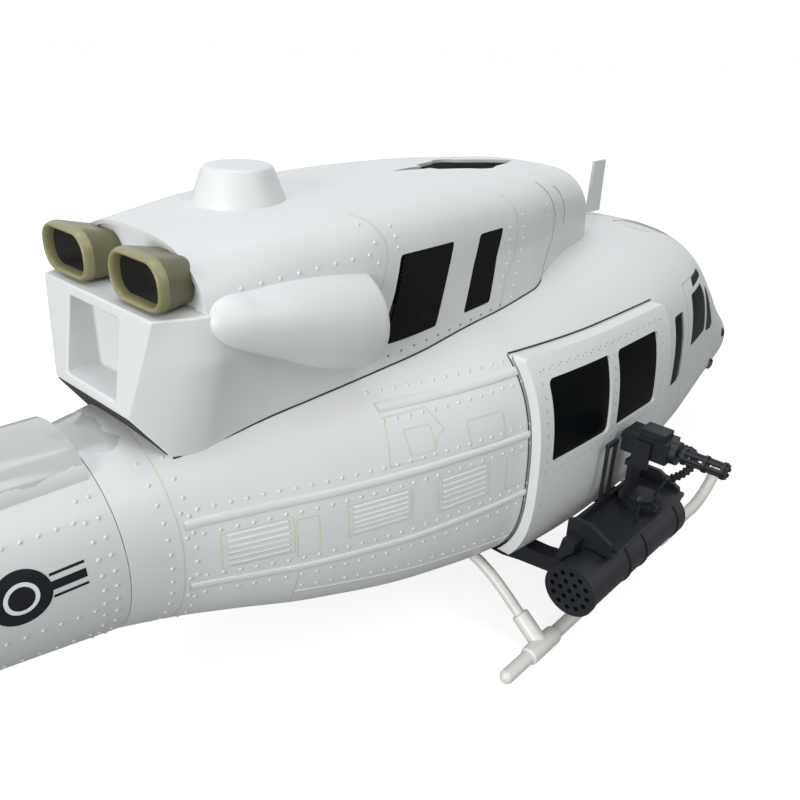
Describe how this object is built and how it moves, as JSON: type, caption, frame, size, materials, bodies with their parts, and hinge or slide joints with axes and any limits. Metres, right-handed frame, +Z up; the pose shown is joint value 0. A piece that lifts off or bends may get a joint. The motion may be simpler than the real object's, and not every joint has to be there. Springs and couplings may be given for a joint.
{
  "type": "remote control helicopter",
  "caption": "Scale utility helicopter body with twin exhausts, sliding doors, skids, side stores, rotor drive and tail rotor, main rotor head left off.",
  "frame": {"origin": "middle of the bounding box in plan, at the height of the skid bottoms", "axes": "+X toward the nose, +Y to the machine's left, +Z up"},
  "size_m": [0.935, 0.308, 0.373],
  "materials": {
    "body_white": "satin off-white paint over thin fibreglass",
    "body_grey": "satin light grey paint over thin fibreglass",
    "olive": "olive khaki moulding, slightly sheeny",
    "mesh_black": "fine woven black mesh",
    "dark_glass": "dark tinted glossy pane",
    "gear_white": "warm white paint",
    "plywood": "birch plywood",
    "carbon_plate": "carbon fibre plate",
    "alloy": "machined alloy",
    "steel": "ground steel shaft",
    "nylon": "natural nylon",
    "brass": "turned brass",
    "black_plastic": "black case",
    "pack_wrap": "dark shrink wrap",
    "blade_grey": "dark grey blade",
    "charcoal": "charcoal-black moulding"
  },
  "bodies": {
    "airframe": {"cabin_shell": "body_white", "tail_boom": "body_white", "spine_cover": "body_white", "tail_fin": "body_white", "stabiliser": "body_white", "tail_skid": "gear_white", "engine_cowl": "body_white", "exhaust_box": "body_grey", "exhaust_pipe_left": "olive", "exhaust_pipe_right": "olive", "intake_dome": "body_white", "side_fairing_left": "body_white", "side_fairing_right": "body_white", "mesh_screens": "mesh_black", "roof_antenna": "body_white", "fixed_glazing": "dark_glass", "cross_tubes": "gear_white", "skid_left": "gear_white", "skid_right": "gear_white", "skid_tees": "gear_white", "floor_plate": "plywood", "frame_plates": "carbon_plate", "frame_blocks": "alloy", "motor": "alloy", "servos": "black_plastic", "battery": "pack_wrap", "electronics": "black_plastic", "tube_formers": "plywood", "tail_gearboxes": "alloy", "rocket_pod_left": "charcoal", "stores_mount_left": "charcoal", "rocket_pod_right": "charcoal", "stores_mount_right": "charcoal"},
    "slide_door_body_left": {"slide_door_left": "body_white", "slide_glass_left": "dark_glass"},
    "crew_door_body_left": {"crew_door_left": "body_white", "crew_glass_left": "dark_glass"},
    "gun_base_left": {"gun_cradle_left": "charcoal"},
    "gun_body_left": {"gun_left": "charcoal"},
    "barrel_cluster_left": {"gun_barrels_left": "charcoal"},
    "slide_door_body_right": {"slide_door_right": "body_white", "slide_glass_right": "dark_glass"},
    "crew_door_body_right": {"crew_door_right": "body_white", "crew_glass_right": "dark_glass"},
    "gun_base_right": {"gun_cradle_right": "charcoal"},
    "gun_body_right": {"gun_right": "charcoal"},
    "barrel_cluster_right": {"gun_barrels_right": "charcoal"},
    "mast": {"main_shaft": "steel", "main_gear": "nylon"},
    "pinion": {"motor_pinion": "brass"},
    "tail_drive": {"tail_pinion": "brass"},
    "tail_tube": {"torque_tube": "alloy"},
    "fin_drive": {"fin_shaft": "steel"},
    "tail_rotor": {"tail_hub": "alloy", "tail_blades": "blade_grey"},
    "tail_pitch": {"pitch_slider": "brass"},
    "swash": {"swashplate": "alloy"},
    "arm_1": {"servo_arm_1": "nylon"},
    "arm_2": {"servo_arm_2": "nylon"},
    "arm_3": {"servo_arm_3": "nylon"}
  },
  "joints": [
    {"name": "mast_spin", "type": "hinge", "parent": "airframe", "child": "mast", "pos_m": [0.176, 0, 0.1], "axis": [0, 0, 1], "continuous": true},
    {"name": "pinion_spin", "type": "hinge", "parent": "airframe", "child": "pinion", "pos_m": [0.2214, 0, 0.082], "axis": [0, 0, 1], "continuous": true},
    {"name": "tail_drive_spin", "type": "hinge", "parent": "airframe", "child": "tail_drive", "pos_m": [0.1306, 0, 0.082], "axis": [0, 0, 1], "continuous": true},
    {"name": "tail_tube_spin", "type": "hinge", "parent": "airframe", "child": "tail_tube", "pos_m": [0.138, 0, 0.118], "axis": [-0.9987, 0, 0.0516], "continuous": true},
    {"name": "fin_drive_spin", "type": "hinge", "parent": "airframe", "child": "fin_drive", "pos_m": [-0.404, 0, 0.146], "axis": [-0.2459, 0, 0.9693], "continuous": true},
    {"name": "tail_rotor_spin", "type": "hinge", "parent": "airframe", "child": "tail_rotor", "pos_m": [-0.438, -0.021, 0.28], "axis": [0, -1, 0], "continuous": true},
    {"name": "tail_pitch_slide", "type": "slide", "parent": "airframe", "child": "tail_pitch", "axis": [0, -1, 0], "range_m": [-0.0012, 0.0012]},
    {"name": "swash_slide", "type": "slide", "parent": "airframe", "child": "swash", "axis": [0, 0, 1], "range_m": [-0.004, 0.004]},
    {"name": "servo_arm_turn_1", "type": "hinge", "parent": "airframe", "child": "arm_1", "pos_m": [0.156, -0.0333, 0.146], "axis": [0, -1, 0], "range_deg": [-20, 20]},
    {"name": "servo_arm_turn_2", "type": "hinge", "parent": "airframe", "child": "arm_2", "pos_m": [0.156, 0.0333, 0.146], "axis": [0, -1, 0], "range_deg": [-20, 20]},
    {"name": "servo_arm_turn_3", "type": "hinge", "parent": "airframe", "child": "arm_3", "pos_m": [0.208, -0.0333, 0.146], "axis": [0, -1, 0], "range_deg": [-20, 20]},
    {"name": "slide_door_travel_left", "type": "slide", "parent": "airframe", "child": "slide_door_body_left", "axis": [-1, 0, 0], "range_m": [0, 0.125]},
    {"name": "crew_door_swing_left", "type": "hinge", "parent": "airframe", "child": "crew_door_body_left", "pos_m": [0.377, 0.0726, 0.08], "axis": [0, 0, -1], "range_deg": [0, 65]},
    {"name": "gun_yaw_left", "type": "hinge", "parent": "airframe", "child": "gun_base_left", "pos_m": [0.196, 0.114, 0.062], "axis": [0, 0, 1], "range_deg": [-60, 60]},
    {"name": "gun_pitch_left", "type": "hinge", "parent": "gun_base_left", "child": "gun_body_left", "pos_m": [0.196, 0.114, 0.095], "axis": [1, 0, 0], "range_deg": [-12, 12]},
    {"name": "barrel_spin_left", "type": "hinge", "parent": "gun_body_left", "child": "barrel_cluster_left", "pos_m": [0.196, 0.14, 0.095], "axis": [0, 1, 0], "continuous": true},
    {"name": "slide_door_travel_right", "type": "slide", "parent": "airframe", "child": "slide_door_body_right", "axis": [-1, 0, 0], "range_m": [0, 0.125]},
    {"name": "crew_door_swing_right", "type": "hinge", "parent": "airframe", "child": "crew_door_body_right", "pos_m": [0.377, -0.0726, 0.08], "axis": [0, 0, 1], "range_deg": [0, 65]},
    {"name": "gun_yaw_right", "type": "hinge", "parent": "airframe", "child": "gun_base_right", "pos_m": [0.196, -0.114, 0.062], "axis": [0, 0, 1], "range_deg": [-60, 60]},
    {"name": "gun_pitch_right", "type": "hinge", "parent": "gun_base_right", "child": "gun_body_right", "pos_m": [0.196, -0.114, 0.095], "axis": [-1, 0, 0], "range_deg": [-12, 12]},
    {"name": "barrel_spin_right", "type": "hinge", "parent": "gun_body_right", "child": "barrel_cluster_right", "pos_m": [0.196, -0.14, 0.095], "axis": [0, -1, 0], "continuous": true}
  ],
  "couplings": [
    {"joint": "pinion_spin", "follows": "mast_spin", "ratio": -4},
    {"joint": "tail_drive_spin", "follows": "mast_spin", "ratio": -4},
    {"joint": "tail_tube_spin", "follows": "mast_spin", "ratio": -4},
    {"joint": "fin_drive_spin", "follows": "mast_spin", "ratio": -4},
    {"joint": "tail_rotor_spin", "follows": "mast_spin", "ratio": -4},
    {"joint": "servo_arm_turn_1", "follows": "swash_slide", "rad_per_m": 83},
    {"joint": "servo_arm_turn_2", "follows": "swash_slide", "rad_per_m": 83},
    {"joint": "servo_arm_turn_3", "follows": "swash_slide", "rad_per_m": 83}
  ]
}
